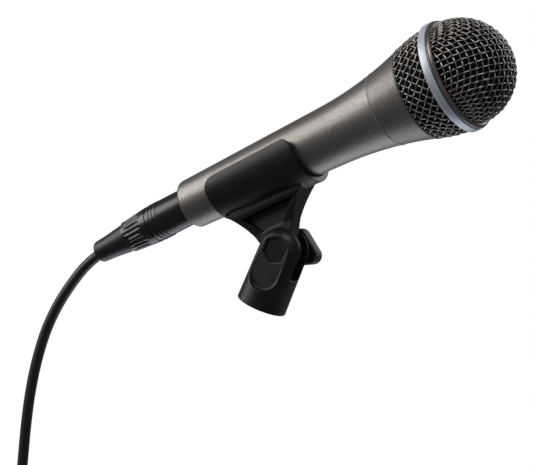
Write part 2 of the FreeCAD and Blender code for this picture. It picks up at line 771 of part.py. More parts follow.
add_turn(cradle, [
    ("0", "saddle_start - 20"),
    (inside_at.format("(saddle_start - 20)"), "saddle_start - 20"),
    (inside_at.format("(saddle_end + 20)"), "saddle_end + 20"),
    ("0", "saddle_end + 20"),
], kind="Groove")
doc.recompute()
for side in ("", "-"):
    flare = [
        (neck_top + " + saddle_wall", side + "neck_width / 2"),
        (neck_top + " + saddle_wall + flare_depth", f"{side}(slot_width / 2 - neck_clearance)"),
        ("neck_reach + 2 * knuckle_radius", f"{side}(slot_width / 2 - neck_clearance)"),
        ("neck_reach + 2 * knuckle_radius", side + "neck_width"),
        (neck_top + " + saddle_wall", side + "neck_width"),
    ]
    add_pad(cradle, "XY_Plane", flare, "4 * saddle_end", "Pocket")
    doc.recompute()
cut_holes(cradle, "XZ_Plane", [("neck_reach", "neck_station", "bolt_radius + bolt_clearance")],
          "-2 * base_radius", "4 * base_radius")
for side, reverse in (("1", False), ("-1", True)):
    sketch = new_sketch(cradle, "XZ_Plane", side + " * web_half")
    draw_outline(sketch, [
        (neck_top + " + saddle_wall * 1.6", "neck_station - neck_rear_spread + flange_thickness * 3"),
        ("neck_reach - knuckle_radius * 1.35", "neck_station - knuckle_radius + flange_thickness * 1.1",
         "neck_rear_bend", "right"),
        ("neck_reach - knuckle_radius * 1.35", "neck_station + knuckle_radius - flange_thickness * 1.1"),
        (neck_top + " + saddle_wall * 1.6", "neck_station + neck_front_spread - flange_thickness * 3",
         "neck_front_bend", "right"),
    ])
    recess = cradle.newObject("PartDesign::Pocket", "web_recess")
    recess.Profile = sketch
    recess.Reversed = not reverse
    bind(recess, "Length", "neck_width")
    doc.recompute()

# Cable plugs: a shell that holds the insulator, and a collar that squeezes the chuck onto the cord


def plug_tail(prefix, place):
    """The chuck, collar and boot behind a plug's shell, and the cord's end inside them."""
    bore = "cord_radius + fit_gap"
    turned(prefix + "chuck", place, [
        (bore, "chuck_station"),
        ("chuck_tail_radius", "chuck_station"),
        ("chuck_radius", "plug_tail_station + 1"),
        ("chuck_radius", "chuck_nose_station"),
        (bore, "chuck_nose_station"),
    ])
    turned(prefix + "collar", place, [
        ("chuck_tail_radius + collar_bore_gap", "collar_back_station"),
        ("collar_back_radius", "collar_back_station"),
        ("collar_middle_radius", "collar_middle_station"),
        ("collar_front_radius", "plug_tail_station - part_line"),
        ("chuck_radius + 0.3", "plug_tail_station - part_line"),
        ("chuck_tail_radius + collar_bore_gap", "chuck_station"),
    ])
    turned(prefix + "boot", place, [
        (bore, "boot_back_station"),
        ("boot_back_radius - boot_round", "boot_back_station"),
        ("boot_back_radius", "boot_back_station + boot_round", "boot_round", "left"),
        ("boot_middle_radius", "boot_middle_station"),
        ("boot_front_radius", "collar_back_station - part_line"),
        (bore, "collar_back_station - part_line"),
    ])
    combined("Compound", prefix + "cord_end", place,
             primitive("Cylinder", prefix + "cord_stub", ("0", "0", "cord_station"),
                       Radius="cord_radius", Height="cord_stub_end - cord_station"))
    far = [at_height(spot, size("contact_back")) for spot in pin_ring]
    near = [at_height(spot * size("wire_pinch"), size("cord_stub_end")) for spot in pin_ring]
    rods(prefix + "wires", place, list(zip(near, far)), size("wire_radius"))


ribs = []
for rib in range(3):
    foot = f"(plug_tail_station + 1.5 + {rib} * plug_rib_pitch)"
    ribs += [("plug_radius", foot), ("plug_radius + plug_rib_height", foot),
             ("plug_radius + plug_rib_height", foot + " + plug_rib_width"),
             ("plug_radius", foot + " + plug_rib_width")]
shell = turned("plug_shell", plug_place, [
    ("plug_bore", "plug_tail_station"),
    ("plug_radius", "plug_tail_station"),
    *ribs,
    ("plug_radius", "plug_nose_station"),
    ("plug_bore", "plug_nose_station"),
])
cut_outline(shell, "XY_Plane", [
    ("-2 * plug_radius", "-latch_width / 2"),
    ("-plug_bore / 2", "-latch_width / 2"),
    ("-plug_bore / 2", "latch_width / 2"),
    ("-2 * plug_radius", "latch_width / 2"),
], "latch_station", "latch_length")
latch_tube = turned("latch_tube", Placement(), [
    ("plug_bore + 0.2", "latch_station + latch_gap"),
    ("plug_radius + 0.2", "latch_station + latch_gap"),
    ("plug_radius + 0.2", "latch_station + latch_length - latch_gap"),
    ("plug_bore + 0.2", "latch_station + latch_length - latch_gap"),
])
latch_block = box("latch_block", ("-2 * plug_radius", "latch_gap - latch_width / 2", "latch_station"),
                  ("2 * plug_radius", "latch_width - 2 * latch_gap", "latch_length"))
combined("Common", "latch_button", plug_place, latch_tube, latch_block)

insulator = turned("plug_insulator", plug_place, [
    ("0", "plug_insulator_back"),
    ("plug_bore - fit_gap", "plug_insulator_back"),
    ("plug_bore - fit_gap", "plug_nose_station"),
    ("0", "plug_nose_station"),
])
doc.recompute()
cut_holes(insulator, "XY_Plane", [(*spot, "pin_radius + contact_clearance") for spot in PIN_SPOTS],
          "pin_tip_station - 0.4", "plug_nose_station")
cut_holes(insulator, "XY_Plane", [(*spot, "contact_radius + fit_gap") for spot in PIN_SPOTS],
          "plug_insulator_back - 1", "pin_tip_station - plug_insulator_back + 1")
rods("plug_contacts", plug_place,
     [(at_height(spot, size("contact_back")), at_height(spot, size("pin_tip_station") - 0.5))
      for spot in pin_ring], size("contact_radius"))
plug_tail("plug_", plug_place)

# Cord: the free stretch as straight runs joined by tangent arcs, then the tied coil


def cord_tube(label, points):
    """A round cord along the points, each corner eased by an arc as large as its two runs allow."""
    radius = size("cord_radius")
    edges, here, radii = [], points[0], []
    for before, corner, after in zip(points, points[1:], points[2:]):
        into, out = corner - before, after - corner
        turn = into.getAngle(out)
        cut = 0.45 * min(into.Length, out.Length)
        start, stop = corner - into.normalize() * cut, corner + out.normalize() * cut
        towards = (start + stop) / 2 - corner
        bend = cut / math.tan(turn / 2)
        radii.append(round(bend, 1))
        middle = corner + towards.normalize() * (math.hypot(bend, cut) - bend)
        edges += [Part.makeLine(here, start), Part.Arc(start, middle, stop).toShape()]
        here = stop
    edges.append(Part.makeLine(here, points[-1]))
    path = Part.Wire(edges)
    first = (points[1] - points[0]).normalize()
    ring = Part.Wire(Part.makeCircle(radius, points[0], first))
    tube = path.makePipeShell([ring], True, True)
    share = tube.Volume / (math.pi * radius ** 2 * path.Length)
    print(label, "length", round(path.Length, 1), "bend radii", radii, "volume share", round(share, 4))
    return plain(label, Placement(), tube)


cord_start = plug_place.multVec(Vector(0, 0, size("cord_station")))
cord_bend = plug_place.multVec(Vector(0, 0, size("cord_bend_station")))
route = [cord_start, cord_bend] + [Vector(across_, 0, up) for across_, up in CORD_POINTS]
cord_tube("cord_tube", route)

coil_centre = route[-1] + Vector(size("coil_across"), 0, -size("coil_drop"))
coil_place = Placement(coil_centre, Rotation(Vector(1, 0, 0), 90))
combined("Compound", "cord_coil", coil_place,
         primitive("Torus", "coil_ring", Radius1="coil_radius", Radius2="coil_bundle_radius"))
tie_place = coil_place.multiply(Placement(Vector(0, 0, 0), Rotation(Vector(0, 0, 1), size("tie_start"))))
combined("Cut", "cord_tie", tie_place,
         primitive("Torus", "tie_outside", Radius1="coil_radius", Angle3="tie_sweep",
                   Radius2="coil_bundle_radius + fit_gap + tie_wall"),
         primitive("Torus", "tie_inside", Radius1="coil_radius",
                   Radius2="coil_bundle_radius + fit_gap"))

tail_top = coil_centre - Vector(size("coil_radius"), 0, size("tail_start"))
tail_foot = coil_centre - Vector(size("coil_radius"), 0, size("tail_drop"))
cord_tube("cord_tail", [tail_top, tail_foot])
end_place = Placement(tail_foot + Vector(0, 0, size("cord_station")), Rotation(Vector(1, 0, 0), 180))
turned("end_shell", end_place, [
    ("plug_bore", "plug_tail_station"),
    ("plug_radius", "plug_tail_station"),
    *ribs,
    ("plug_radius", "plug_insulator_back"),
    ("male_shell_radius", "0"),
    ("male_shell_radius", "plug_nose_station + 6"),
    ("male_shell_bore", "plug_nose_station + 6"),
    ("male_shell_bore", "0"),
    ("plug_bore", "0"),
])
end_insulator = turned("end_insulator", end_place, [
    ("0", "plug_insulator_back - 1"),
    ("plug_bore - fit_gap", "plug_insulator_back - 1"),
    ("plug_bore - fit_gap", "male_insulator_top"),
    ("0", "male_insulator_top"),
])
doc.recompute()
cut_holes(end_insulator, "XY_Plane", [(*spot, "pin_radius + fit_gap") for spot in PIN_SPOTS],
          "contact_back", "male_insulator_top * 4")
rods("end_pins", end_place,
     [(at_height(spot, size("contact_back")), at_height(spot, size("plug_nose_station") + 4))
      for spot in pin_ring], size("pin_radius"))
plug_tail("end_", end_place)

# Check the document, then write one file for each sub-part

NODES = [
    "clip_base", "thread_insert", "clamp_nut", "clamp_washer", "thumbscrew_bolt", "thumbscrew_knob",
    "clip_cradle", "handle_shell", "socket_insulator", "socket_screw", "socket_pins", "output_wires",
    "transformer_core", "transformer_winding", "transformer_wrap", "capsule_wires", "shock_mount",
    "capsule_frame", "magnet_yoke", "magnet", "pole_piece", "voice_coil", "diaphragm", "resonator_cap",
    "front_felt", "cavity_tube", "grille_collar", "grille_rear_mesh", "grille_ring", "grille_front_mesh",
    "foam_windscreen", "plug_shell", "latch_button", "plug_insulator", "plug_contacts", "plug_chuck",
    "plug_collar", "plug_boot", "plug_cord_end", "plug_wires", "cord_tube", "cord_coil", "cord_tie",
    "cord_tail", "end_shell", "end_insulator", "end_pins", "end_chuck", "end_collar", "end_boot",
    "end_cord_end", "end_wires",
]

doc.recompute()
for thing in doc.Objects:
    if "Invalid" in thing.State or "Error" in thing.State:
        raise ValueError(f"{thing.Label} failed: {thing.State}")
solids = {}
for node in NODES:
    shape = doc.getObjectsByLabel(node)[0].Shape
    if shape.isNull() or not shape.isValid() or not shape.Solids:
        raise ValueError(node + " has no valid solid")
    solids[node] = shape

os.makedirs("parts", exist_ok=True)
for node, shape in solids.items():
    shape.exportStep(f"parts/{node}.step")
print(len(solids), "sub-parts written")
print("pivot", tuple(pivot), "mic", tuple(mic_place.Base), "axis", tuple(tilt.multVec(Vector(0, 0, 1))))
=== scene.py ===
import json
import math

import bpy
from mathutils import Matrix, Vector, noise


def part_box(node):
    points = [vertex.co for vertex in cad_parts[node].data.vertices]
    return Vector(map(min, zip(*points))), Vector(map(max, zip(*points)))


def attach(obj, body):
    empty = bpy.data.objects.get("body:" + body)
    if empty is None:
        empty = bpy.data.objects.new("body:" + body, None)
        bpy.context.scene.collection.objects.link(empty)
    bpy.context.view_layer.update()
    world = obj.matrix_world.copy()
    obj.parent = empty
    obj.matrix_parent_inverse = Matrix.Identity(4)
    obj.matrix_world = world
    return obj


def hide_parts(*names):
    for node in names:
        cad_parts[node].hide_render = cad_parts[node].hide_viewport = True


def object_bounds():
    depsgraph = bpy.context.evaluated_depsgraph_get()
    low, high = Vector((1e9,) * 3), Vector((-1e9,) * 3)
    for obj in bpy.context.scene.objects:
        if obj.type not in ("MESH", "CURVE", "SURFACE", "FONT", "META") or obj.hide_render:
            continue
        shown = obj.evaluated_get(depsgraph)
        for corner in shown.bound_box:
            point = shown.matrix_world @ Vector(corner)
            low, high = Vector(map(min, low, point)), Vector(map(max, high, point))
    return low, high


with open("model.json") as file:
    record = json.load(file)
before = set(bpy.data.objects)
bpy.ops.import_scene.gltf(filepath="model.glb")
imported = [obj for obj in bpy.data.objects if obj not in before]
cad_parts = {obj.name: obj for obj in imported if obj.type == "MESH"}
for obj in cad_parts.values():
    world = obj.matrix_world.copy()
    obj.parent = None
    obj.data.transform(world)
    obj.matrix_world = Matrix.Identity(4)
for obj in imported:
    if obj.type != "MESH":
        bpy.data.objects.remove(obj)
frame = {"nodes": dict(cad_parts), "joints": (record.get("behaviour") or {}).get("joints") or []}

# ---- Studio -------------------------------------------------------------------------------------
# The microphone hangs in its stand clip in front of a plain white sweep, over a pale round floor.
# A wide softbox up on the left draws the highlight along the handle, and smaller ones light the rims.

MM = 0.001
CAD_BOX = [list(corner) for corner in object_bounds()]

CAMERA_PLACE = (0.5362, -0.9082, 0.0348)
CAMERA_LOOK = Vector((-0.506, 0.863, 0.0))
bpy.ops.object.select_all(action="DESELECT")
bpy.ops.object.camera_add(location=CAMERA_PLACE, rotation=CAMERA_LOOK.to_track_quat("-Z", "Y").to_euler())
camera = bpy.context.object
camera.name = "camera"
camera.data.sensor_width = 36
camera.data.lens = 147.8
camera.data.clip_end = 20
bpy.context.scene.camera = camera

# The floor lies low enough for the lead to swing over it. It is seen, but lights and shades nothing.
FLOOR_DROP, FLOOR_RADIUS = 0.06, 1.6
bpy.ops.mesh.primitive_circle_add(vertices=96, radius=FLOOR_RADIUS, fill_type="NGON",
                                  location=(0, 0, CAD_BOX[0][2] - FLOOR_DROP))
floor = bpy.context.object
floor.name = "floor"
floor_paint = bpy.data.materials.new("floor_paint")
floor_paint.use_nodes = True
floor_shader = floor_paint.node_tree.nodes["Principled BSDF"]
floor_shader.inputs["Base Color"].default_value = (0.8, 0.8, 0.79, 1)
floor_shader.inputs["Roughness"].default_value = 0.9
floor_shader.inputs["Emission Color"].default_value = (1, 1, 0.99, 1)
floor_shader.inputs["Emission Strength"].default_value = 0.35
floor.data.materials.append(floor_paint)
floor.visible_glossy = False
floor.visible_diffuse = False
floor.visible_shadow = False


LAMPS_AIM = Vector((0.03, 0, 0.06))


def add_softbox(name, place, size, power, tint=(1, 1, 1)):
    """A soft rectangular lamp at place that faces the microphone."""
    look = LAMPS_AIM - Vector(place)
    bpy.ops.object.light_add(type="AREA", location=place, rotation=look.to_track_quat("-Z", "Y").to_euler())
    lamp = bpy.context.object
    lamp.name = name
    lamp.data.shape = "RECTANGLE"
    lamp.data.size, lamp.data.size_y = size
    lamp.data.energy = power
    lamp.data.color = tint


add_softbox("softbox_key", (-0.85, -0.55, 0.50), (0.90, 0.70), 12.5, (1.0, 0.99, 0.975))
add_softbox("softbox_top", (0.35, -0.35, 0.95), (0.6, 0.4), 6.0, (0.97, 0.985, 1.0))
add_softbox("softbox_right", (0.95, -0.75, 0.25), (0.3, 0.5), 0.7)
add_softbox("softbox_low", (-0.10, 0.45, -0.80), (1.1, 0.8), 6.0, (0.86, 0.90, 1.0))
add_softbox("softbox_back", (0.45, 0.80, 0.45), (0.7, 0.5), 4.0)

world = bpy.data.worlds.new("studio")
bpy.context.scene.world = world
world.use_nodes = True
sky = world.node_tree
sky.nodes.clear()
sky_out = sky.nodes.new("ShaderNodeOutputWorld")
sky_glow = sky.nodes.new("ShaderNodeBackground")
sky_glow.inputs["Color"].default_value = (0.96, 0.98, 1.0, 1)
sky_glow.inputs["Strength"].default_value = 0.16
sky_seen = sky.nodes.new("ShaderNodeBackground")
sky_seen.inputs["Color"].default_value = (1, 1, 1, 1)
sky_path = sky.nodes.new("ShaderNodeLightPath")
sky_mix = sky.nodes.new("ShaderNodeMixShader")
sky.links.new(sky_path.outputs["Is Camera Ray"], sky_mix.inputs["Fac"])
sky.links.new(sky_glow.outputs[0], sky_mix.inputs[1])
sky.links.new(sky_seen.outputs[0], sky_mix.inputs[2])
sky.links.new(sky_mix.outputs[0], sky_out.inputs["Surface"])
bpy.context.scene.view_settings.view_transform = "Standard"

# ---- Clip base ----------------------------------------------------------------------------------
# A moulded glass-filled nylon post with two ears. Its walls are about 3 mm, every edge is broken by
# the mould, and it screws onto the stand by a brass insert pressed into its foot. Its nut and bolt are
# painted near-black as painted shade, so the nut's pocket reads as a dark hole.


def new_group(name, takes, gives):
    """An empty shader group with its sockets, and its input and output nodes."""
    group = bpy.data.node_groups.new(name, "ShaderNodeTree")
    for socket, kind, value in takes:
        made = group.interface.new_socket(socket, in_out="INPUT", socket_type="NodeSocket" + kind)
        if value is not None:
            made.default_value = value
    for socket, kind in gives:
        group.interface.new_socket(socket, in_out="OUTPUT", socket_type="NodeSocket" + kind)
    return group, group.nodes.new("NodeGroupInput"), group.nodes.new("NodeGroupOutput")


def add_node(tree, kind, settings=None, **sockets):
    """A node with its settings, and each socket given a value or linked to another node's output."""
    node = tree.nodes.new("ShaderNode" + kind)
    for name, value in (settings or {}).items():
        setattr(node, name, value)
    for name, value in sockets.items():
        socket = node.inputs[int(name[1:])] if name[0] == "_" else node.inputs[name.replace("_", " ")]
        if isinstance(value, bpy.types.NodeSocket):
            tree.links.new(value, socket)
        else:
            socket.default_value = value
    return node


def maths(tree, operation, first, second=0.0):
    return add_node(tree, "Math", {"operation": operation}, _0=first, _1=second).outputs[0]


# Mottle: a cloudy change of shade and gloss with a fine moulded relief, as any real skin has.
mottle, mottle_in, mottle_out = new_group("mottle", [
    ("Vector", "Vector", None), ("Colour", "Color", (0.5, 0.5, 0.5, 1)), ("Shade", "Float", 0.1),
    ("Roughness", "Float", 0.5), ("Spread", "Float", 0.08), ("Grain", "Float", 1500.0),
    ("Relief", "Float", 0.1),
], [("Colour", "Color"), ("Roughness", "Float"), ("Normal", "Vector")])
given = mottle_in.outputs
clouds = add_node(mottle, "TexNoise", Vector=given["Vector"], Scale=90.0, Detail=3.0)
specks = add_node(mottle, "TexNoise", Vector=given["Vector"], Scale=given["Grain"], Detail=2.0)
both = maths(mottle, "ADD", maths(mottle, "MULTIPLY", clouds.outputs[0], 0.6),
             maths(mottle, "MULTIPLY", specks.outputs[0], 0.4))
swing = maths(mottle, "MULTIPLY", maths(mottle, "SUBTRACT", both, 0.5), 4.0)
shade = maths(mottle, "ADD", maths(mottle, "MULTIPLY", swing, given["Shade"]), 1.0)
tone = add_node(mottle, "VectorMath", {"operation": "SCALE"}, _0=given["Colour"], Scale=shade)
gloss = maths(mottle, "ADD", maths(mottle, "MULTIPLY", swing, given["Spread"]), given["Roughness"])
relief = add_node(mottle, "Bump", Strength=given["Relief"], Distance=0.0001, Height=specks.outputs[0])
mottle.links.new(tone.outputs[0], mottle_out.inputs["Colour"])
mottle.links.new(gloss, mottle_out.inputs["Roughness"])
mottle.links.new(relief.outputs[0], mottle_out.inputs["Normal"])


def new_finish(name, colour, roughness, metallic=0.0, coat=0.0, shade=0.12, spread=0.06, grain=1500.0,
               relief=0.1, place=None, specular=0.5):
    """A material whose mottle feeds its shader, laid along a piece's own axis where a place is given."""
    made = bpy.data.materials.new(name)
    made.use_nodes = True
    tree = made.node_tree
    shader = tree.nodes["Principled BSDF"]
    where = add_node(tree, "TexCoord").outputs["Object"]
    if place is not None:
        where = add_node(tree, "Mapping", {"vector_type": "TEXTURE"}, Vector=where,
                         Location=place.to_translation(), Rotation=place.to_euler()).outputs[0]
    skin = tree.nodes.new("ShaderNodeGroup")
    skin.node_tree = mottle
    skin.name = "skin"
    tree.links.new(where, skin.inputs["Vector"])
    for socket, value in (("Colour", (*colour, 1)), ("Shade", shade), ("Roughness", roughness),
                          ("Spread", spread), ("Grain", grain), ("Relief", relief)):
        skin.inputs[socket].default_value = value
    tree.links.new(skin.outputs["Colour"], shader.inputs["Base Color"])
    tree.links.new(skin.outputs["Roughness"], shader.inputs["Roughness"])
    tree.links.new(skin.outputs["Normal"], shader.inputs["Normal"])
    shader.inputs["Metallic"].default_value = metallic
    shader.inputs["Specular IOR Level"].default_value = specular
    shader.inputs["Coat Weight"].default_value = coat
    shader.inputs["Coat Roughness"].default_value = 0.12
    return made


def paint(material, *nodes):
    """Give frame nodes a material."""
    for name in nodes:
        frame["nodes"][name].data.materials.clear()
        frame["nodes"][name].data.materials.append(material)


def take(piece):
    """Make a piece the only one that the operators work on."""
    bpy.ops.object.select_all(action="DESELECT")
    piece.select_set(True)
    bpy.context.view_layer.objects.active = piece


def add_modifier(piece, kind, **settings):
    """Add a modifier with its settings and apply it."""
    made = piece.modifiers.new(kind.lower(), kind)
    for name, value in settings.items():
        setattr(made, name, value)
    take(piece)
    bpy.ops.object.modifier_apply(modifier=made.name)


def fit(piece, body, slot, material, *nodes):
    """Hang a finished piece on its body, in place of frame nodes, with its material."""
    piece.data.materials.clear()
    piece.data.materials.append(material)
    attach(piece, body)
    if nodes:
        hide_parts(*nodes)


def moulded(name, node, grid, rounds):
    """A copy of a frame node with its edges broken, as they come out of a mould."""
    piece = bpy.data.objects.new(name, frame["nodes"][node].data.copy())
    bpy.context.collection.objects.link(piece)
    take(piece)
    bpy.ops.object.mode_set(mode="EDIT")
    bpy.ops.mesh.select_all(action="SELECT")
    bpy.ops.mesh.remove_doubles(threshold=0.000001)
    bpy.ops.object.mode_set(mode="OBJECT")
    add_modifier(piece, "REMESH", mode="VOXEL", voxel_size=grid * MM, adaptivity=0.0)
    add_modifier(piece, "SMOOTH", factor=0.5, iterations=rounds)
    take(piece)
    bpy.ops.object.shade_smooth()
    return piece


clip_plastic = new_finish("clip_plastic", (0.0050, 0.0054, 0.0072), 0.42, shade=0.15, spread=0.07,
                          grain=2600.0, relief=0.16, specular=0.24)
clip_base = moulded("clip_post", "clip_base", 0.32, 5)
fit(clip_base, "stand_clip", "clip_plastic", clip_plastic, "clip_base")

brass = new_finish("brass", (0.62, 0.44, 0.18), 0.34, metallic=1.0, grain=900.0)
# Painted shade: the nut and bolt are near-black so the hex pocket shows as a dark hole.
painted_shade_black = new_finish("painted_shade_black", (0.0035, 0.0035, 0.004), 0.6, grain=1200.0, specular=0.12)
steel = new_finish("steel", (0.5, 0.5, 0.51), 0.3, metallic=1.0, grain=1100.0)
paint(brass, "thread_insert")
paint(painted_shade_black, "clamp_nut", "thumbscrew_bolt")
paint(steel, "clamp_washer")

# ---- Thumbscrew ---------------------------------------------------------------------------------
# A three-lobed nylon knob moulded round the bolt's head. Fine ribs run across its edge for grip, and
# a washer lies between its boss and the ear.

joints = {joint["name"]: joint for joint in frame["joints"]}
PIVOT = Vector(joints["clip_tilt"]["pos_m"])
BASE_LEAN = math.radians(25.3)
STAND_AXIS = Vector((math.sin(BASE_LEAN), 0, math.cos(BASE_LEAN)))
KNOB_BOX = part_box("thumbscrew_knob")
KNOB_LOBE, KNOB_CIRCLE, LOBES, LOBE_STEPS = 4.4, 6.1, 3, 40
KNOB_RIBS, RIB_STEPS, RIB_DEPTH = 64, 4, 0.22


def new_mesh(name, corners, faces, place=Matrix.Identity(4)):
    """A piece from its corners in millimetres, put in its place with its faces outwards."""
    mesh = bpy.data.meshes.new(name)
    mesh.from_pydata([tuple(value * MM for value in corner) for corner in corners], [], faces)
    piece = bpy.data.objects.new(name, mesh)
    bpy.context.collection.objects.link(piece)
    take(piece)
    bpy.ops.object.mode_set(mode="EDIT")
    bpy.ops.mesh.select_all(action="SELECT")
    bpy.ops.mesh.normals_make_consistent(inside=False)
    bpy.ops.object.mode_set(mode="OBJECT")
    mesh.transform(place)
    return piece


def lobed_outline(count):
    """Evenly spaced points of the rounded triangle, each with the direction it faces."""
    spots = []
    for lobe in range(LOBES):
        middle = math.tau * lobe / LOBES
        centre = Vector((math.cos(middle), math.sin(middle), 0)) * KNOB_CIRCLE
        for step in range(LOBE_STEPS + 1):
            facing = middle + math.pi / LOBES * (2 * step / LOBE_STEPS - 1)
            out = Vector((math.cos(facing), math.sin(facing), 0))
            spots.append((centre + out * KNOB_LOBE, out))
    lengths = [0.0]
    for index in range(len(spots)):
        lengths.append(lengths[-1] + (spots[(index + 1) % len(spots)][0] - spots[index][0]).length)
    even = []
    index = 0
    for step in range(count):
        reach = lengths[-1] * step / count
        while lengths[index + 1] < reach:
            index += 1
        share = (reach - lengths[index]) / (lengths[index + 1] - lengths[index])
        first, second = spots[index], spots[(index + 1) % len(spots)]
        even.append((first[0].lerp(second[0], share), first[1].lerp(second[1], share).normalized()))
    return even


knob_low, knob_high = KNOB_BOX[0].y / MM, KNOB_BOX[1].y / MM
BOSS = 1.5
outline = lobed_outline(KNOB_RIBS * RIB_STEPS)
levels = [(knob_low + BOSS, 1.1, 0), (knob_low + BOSS + 0.3, 0.35, 0.4), (knob_low + BOSS + 0.8, 0.0, 1),
          (knob_high - 1.4, 0.0, 1), (knob_high - 0.6, 0.35, 0.4), (knob_high - 0.15, 1.0, 0),
          (knob_high, 2.0, 0)]
corners, faces = [], []
for height, inset, ribbed in levels:
    for index, (spot, out) in enumerate(outline):
        cut = inset + ribbed * RIB_DEPTH * (0.5 - 0.5 * math.cos(math.tau * index / RIB_STEPS))
        corners.append((*(spot - out * cut).xy, height))
ring = len(outline)
for level in range(len(levels) - 1):
    for index in range(ring):
        after = (index + 1) % ring
        faces.append((level * ring + index, level * ring + after, (level + 1) * ring + after,
                      (level + 1) * ring + index))
faces += [tuple(range(ring)), tuple(range((len(levels) - 1) * ring, len(levels) * ring))]
knob_side = Vector((STAND_AXIS.z, 0, -STAND_AXIS.x))
KNOB = Matrix.Translation((PIVOT.x, 0, PIVOT.z)) @ Matrix(
    (knob_side, -STAND_AXIS, Vector((0, 1, 0)))).transposed().to_4x4()
knob = new_mesh("knob", corners, faces, KNOB)
take(knob)
bpy.ops.object.shade_smooth_by_angle(angle=math.radians(50))
knob_plastic = new_finish("knob_plastic", (0.006, 0.0062, 0.0072), 0.48, shade=0.15, grain=2200.0,
                          relief=0.2, specular=0.25)
fit(knob, "thumbscrew", "knob_plastic", knob_plastic)


def lathe(name, outline, place, steps=96, soften=0.0):
    """A turned solid: a closed outline of (radius, station) is spun about the axis, with broken edges."""
    mesh = bpy.data.meshes.new(name)
    count = len(outline)
    links = [(spot, (spot + 1) % count) for spot in range(count)
             if outline[spot][0] > 0 or outline[(spot + 1) % count][0] > 0]
    mesh.from_pydata([(radius * MM, 0, station * MM) for radius, station in outline], links, [])
    piece = bpy.data.objects.new(name, mesh)
    bpy.context.collection.objects.link(piece)
    take(piece)
    bpy.ops.object.mode_set(mode="EDIT")
    bpy.ops.mesh.select_all(action="SELECT")
    bpy.ops.mesh.spin(steps=steps, angle=math.tau, center=(0, 0, 0), axis=(0, 0, 1))
    bpy.ops.mesh.select_all(action="SELECT")
    bpy.ops.mesh.remove_doubles(threshold=0.000002)
    bpy.ops.mesh.normals_make_consistent(inside=False)
    bpy.ops.object.mode_set(mode="OBJECT")
    if soften:
        add_modifier(piece, "BEVEL", width=soften * MM, segments=3, limit_method="ANGLE",
                     angle_limit=math.radians(25))
    piece.data.transform(place)
    take(piece)
    bpy.ops.object.shade_smooth_by_angle(angle=math.radians(30))
    return piece


knob_boss = lathe("knob_boss", [(3.2, knob_low), (6.0, knob_low), (6.6, knob_low + BOSS + 0.2),
                                (3.2, knob_low + BOSS + 0.2)], KNOB, soften=0.15)
fit(knob_boss, "thumbscrew", "knob_plastic", knob_plastic)
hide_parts("thumbscrew_knob")

# ---- Cradle -------------------------------------------------------------------------------------
# The sprung half-tube that grips the handle, moulded in one with its neck and knuckle. The neck is
# thinned to a web between two curved flanges, and the cradle's corners are rounded off.

cradle = moulded("cradle", "clip_cradle", 0.34, 5)
fit(cradle, "cradle", "clip_plastic", clip_plastic, "clip_cradle")

# ---- Handle -------------------------------------------------------------------------------------
# A die-cast zinc tube, tapered for the hand, with a flake metallic paint and a satin lacquer. The
# tail is rounded over into the socket, and a fine seam shows where the grille screws on.


def along(axis, origin):
    """The matrix that lays a piece drawn on Z along an axis, with its X side down."""
    down = Vector((axis.z, 0, -axis.x))
    return Matrix.Translation(origin) @ Matrix((down, Vector((0, 1, 0)), axis)).transposed().to_4x4()


MIC = along(Vector(joints["grille_turn"]["axis"]), Vector(joints["grille_turn"]["pos_m"]))

flake, flake_in, flake_out = new_group("flake", [
    ("Vector", "Vector", None), ("Colour", "Color", (0.2, 0.2, 0.2, 1)), ("Size", "Float", 2600.0),
    ("Sparkle", "Float", 0.3)], [("Colour", "Color"), ("Roughness", "Float")])
chips = add_node(flake, "TexVoronoi", Vector=flake_in.outputs["Vector"], Scale=flake_in.outputs["Size"])
chip = add_node(flake, "SeparateColor", Color=chips.outputs["Color"])
tilted = maths(flake, "SUBTRACT", chip.outputs[0], 0.5)
glint = maths(flake, "MULTIPLY", tilted, flake_in.outputs["Sparkle"])
brightness = maths(flake, "ADD", maths(flake, "MULTIPLY", glint, 2.0), 1.0)
flecked = add_node(flake, "VectorMath", {"operation": "SCALE"}, _0=flake_in.outputs["Colour"],
                   Scale=brightness)
flake.links.new(flecked.outputs[0], flake_out.inputs["Colour"])
flake.links.new(maths(flake, "MULTIPLY", glint, -0.25), flake_out.inputs["Roughness"])


def add_flake(material, size, sparkle):
    """Put metallic flakes over a material's mottled colour."""
    tree = material.node_tree
    skin, shader = tree.nodes["skin"], tree.nodes["Principled BSDF"]
    chips = tree.nodes.new("ShaderNodeGroup")
    chips.node_tree = flake
    tree.links.new(skin.inputs["Vector"].links[0].from_socket, chips.inputs["Vector"])
    tree.links.new(skin.outputs["Colour"], chips.inputs["Colour"])
    chips.inputs["Size"].default_value = size
    chips.inputs["Sparkle"].default_value = sparkle
    tree.links.new(chips.outputs["Colour"], shader.inputs["Base Color"])
    tree.links.new(maths(tree, "ADD", skin.outputs["Roughness"], chips.outputs["Roughness"]),
                   shader.inputs["Roughness"])


PAINT = (0.142, 0.131, 0.122)
handle_paint = new_finish("handle_paint", PAINT, 0.45, metallic=0.85, coat=0.12, shade=0.05, spread=0.03,
                          grain=2500.0, relief=0.10, place=MIC)
add_flake(handle_paint, 2300.0, 0.20)
paint(handle_paint, "handle_shell")

# ---- Socket and transformer ---------------------------------------------------------------------
# Inside the tail: a three-pin insert held by one screw, and the output transformer, a laminated core
# with a wound bobbin under tape. They are hidden once the microphone is closed.

